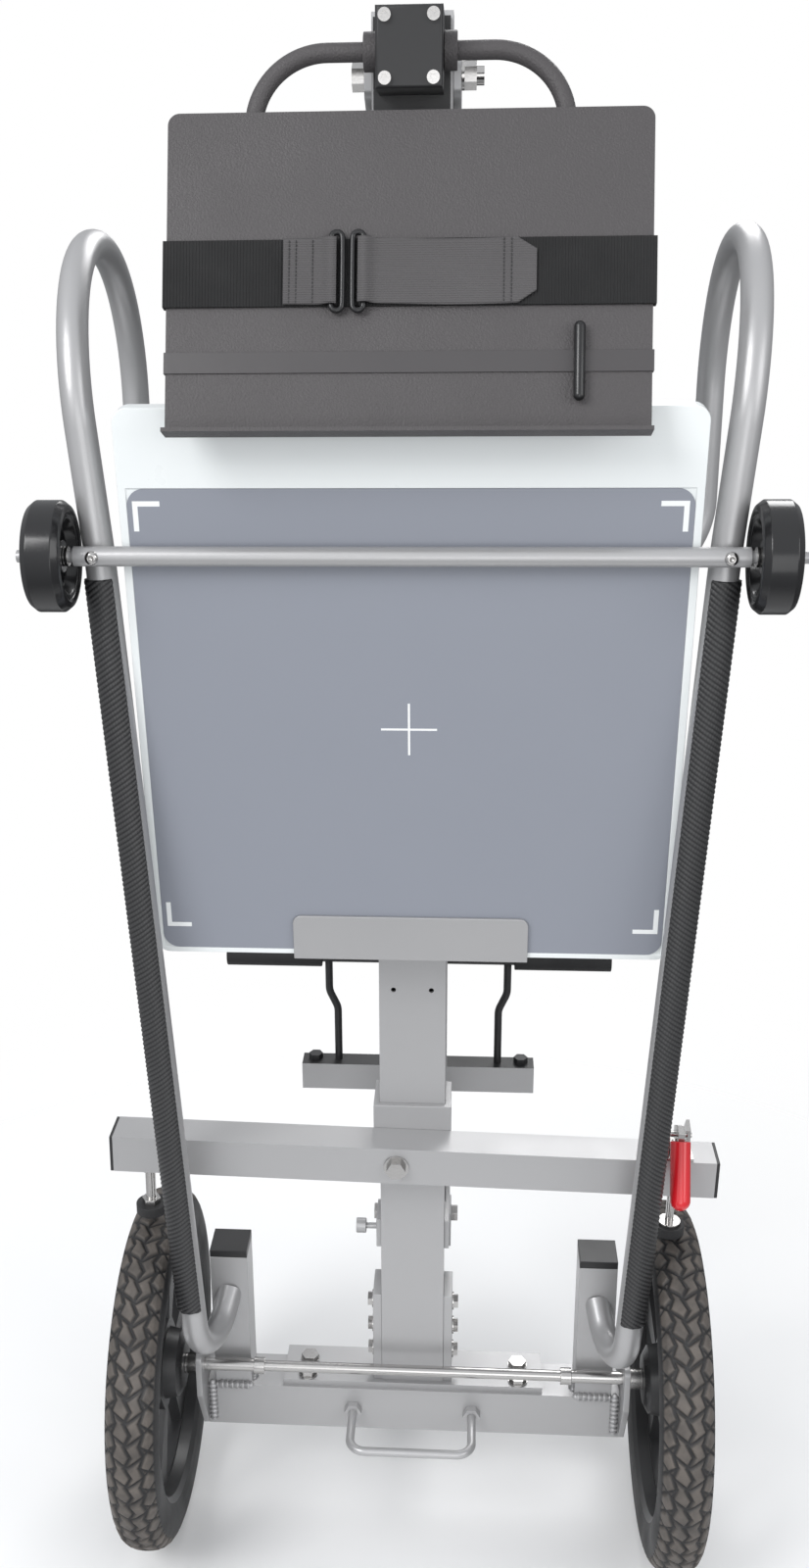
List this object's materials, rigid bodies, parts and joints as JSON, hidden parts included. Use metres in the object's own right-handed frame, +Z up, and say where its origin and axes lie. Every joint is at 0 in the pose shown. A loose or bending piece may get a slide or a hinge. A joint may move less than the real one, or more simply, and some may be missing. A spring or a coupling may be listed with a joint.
{
  "type": "mobile x-ray stand",
  "caption": "Wheeled upright stand with bent rails, flat detector, laptop tray, folded x-ray arm and a rocking tyre brake bar.",
  "frame": {"origin": "floor level, at the middle of the stand's outer box in plan", "axes": "+Z up, +X to the operator's right, the operator stands at -Y"},
  "size_m": [0.6286, 0.424, 1.437],
  "materials": {
    "silver_paint": "satin",
    "bright_steel": "polished",
    "black_plastic": "satin",
    "tyre_rubber": "worn",
    "skid_rubber": "ribbed",
    "tray_coat": "textured",
    "webbing": "woven",
    "band_rubber": "satin",
    "red_vinyl": "gloss",
    "panel_white": "satin",
    "panel_grey": "satin",
    "arm_paint": "satin"
  },
  "bodies": {
    "frame": {"base_beam": "silver_paint", "axle_cheeks": "silver_paint", "axle": "bright_steel", "axle_hardware": "bright_steel", "posts": "silver_paint", "post_caps": "black_plastic", "deck_plate": "silver_paint", "deck_bolts": "bright_steel", "pull_handle": "silver_paint", "mast": "silver_paint", "mast_foot": "silver_paint", "mast_foot_bolts": "bright_steel", "pivot_sleeve": "silver_paint", "mast_bolts": "bright_steel", "rail_left": "silver_paint", "rail_right": "silver_paint", "skid_sleeves": "skid_rubber", "cross_tube": "silver_paint", "small_wheel_nuts": "bright_steel", "detector_bracket": "silver_paint", "clamp_base": "black_plastic", "clamp_cover": "black_plastic", "clamp_screws": "bright_steel", "arm_latch": "silver_paint", "front_leg": "silver_paint"},
    "wheel_left": {"wheel_rim_left": "black_plastic", "tyre_left": "tyre_rubber"},
    "wheel_right": {"wheel_rim_right": "black_plastic", "tyre_right": "tyre_rubber"},
    "small_wheel_left": {"small_rim_left": "black_plastic", "small_tyre_left": "skid_rubber"},
    "small_wheel_right": {"small_rim_right": "black_plastic", "small_tyre_right": "skid_rubber"},
    "caster_fork": {"caster_fork": "silver_paint"},
    "caster_wheel": {"caster_wheel": "skid_rubber"},
    "brake_bar": {"brake_bar": "silver_paint", "brake_bar_plugs": "black_plastic", "brake_stud": "bright_steel", "brake_foot": "skid_rubber", "toggle_base": "bright_steel"},
    "toggle_lever": {"toggle_lever": "bright_steel", "toggle_grip": "red_vinyl"},
    "brake_plunger": {"brake_plunger": "bright_steel", "brake_pad": "skid_rubber"},
    "detector": {"detector_shell": "panel_white", "detector_face": "panel_grey"},
    "tray": {"laptop_tray": "tray_coat", "tray_strap": "webbing", "tray_band": "band_rubber", "tray_tube": "black_plastic", "strap_buckle": "black_plastic", "band_peg": "black_plastic", "clamp_collars": "black_plastic"},
    "upper_arm": {"upper_arm": "arm_paint", "elbow_pin": "bright_steel"},
    "forearm": {"forearm": "arm_paint", "grip_frame": "black_plastic", "grips": "skid_rubber"},
    "xray_head": {"xray_head": "panel_white", "collimator": "black_plastic"}
  },
  "joints": [
    {"name": "wheel_left_spin", "type": "hinge", "parent": "frame", "child": "wheel_left", "pos_m": [-0.259, -0.034, 0.178], "axis": [1, 0, 0], "continuous": true},
    {"name": "wheel_right_spin", "type": "hinge", "parent": "frame", "child": "wheel_right", "pos_m": [0.259, -0.034, 0.178], "axis": [1, 0, 0], "continuous": true},
    {"name": "small_wheel_left_spin", "type": "hinge", "parent": "frame", "child": "small_wheel_left", "pos_m": [-0.286, -0.1207, 1.036], "axis": [1, 0, 0], "continuous": true},
    {"name": "small_wheel_right_spin", "type": "hinge", "parent": "frame", "child": "small_wheel_right", "pos_m": [0.286, -0.1207, 1.036], "axis": [1, 0, 0], "continuous": true},
    {"name": "caster_swivel", "type": "hinge", "parent": "frame", "child": "caster_fork", "pos_m": [0, 0.147, 0.09], "axis": [0, 0, 1], "continuous": true},
    {"name": "caster_wheel_spin", "type": "hinge", "parent": "caster_fork", "child": "caster_wheel", "pos_m": [0, 0.1745, 0.0375], "axis": [1, 0, 0], "continuous": true},
    {"name": "tray_tilt", "type": "hinge", "parent": "frame", "child": "tray", "pos_m": [0, -0.05178, 1.405], "axis": [-1, 0, 0], "range_deg": [0, 70]},
    {"name": "brake_bar_rock", "type": "hinge", "parent": "frame", "child": "brake_bar", "pos_m": [-0.014, -0.0403, 0.437], "axis": [0, 1, 0], "range_deg": [-2.2, 0.1]},
    {"name": "toggle_lever_turn", "type": "hinge", "parent": "brake_bar", "child": "toggle_lever", "pos_m": [0.2528, -0.0453, 0.47242], "axis": [-0.9998, 0, 0.0209], "range_deg": [0, 110]},
    {"name": "brake_plunger_slide", "type": "slide", "parent": "brake_bar", "child": "brake_plunger", "axis": [-0.0209, 0, -0.9998], "range_m": [0, 0.0035]},
    {"name": "detector_lift", "type": "slide", "parent": "frame", "child": "detector", "axis": [0, -0.1135, 0.9935], "range_m": [0, 0.025]},
    {"name": "shoulder_turn", "type": "hinge", "parent": "frame", "child": "upper_arm", "pos_m": [0, 0.00405, 1.393], "axis": [1, 0, 0], "range_deg": [0, 100]},
    {"name": "elbow_turn", "type": "hinge", "parent": "upper_arm", "child": "forearm", "pos_m": [0, 0.098, 0.28], "axis": [-1, 0, 0], "range_deg": [0, 90]},
    {"name": "head_tilt", "type": "hinge", "parent": "forearm", "child": "xray_head", "pos_m": [0, 0.15, 0.8], "axis": [1, 0, 0], "range_deg": [0, 90]}
  ],
  "couplings": [
    {"joint": "brake_plunger_slide", "follows": "toggle_lever_turn", "m_per_rad": 0.0018}
  ]
}
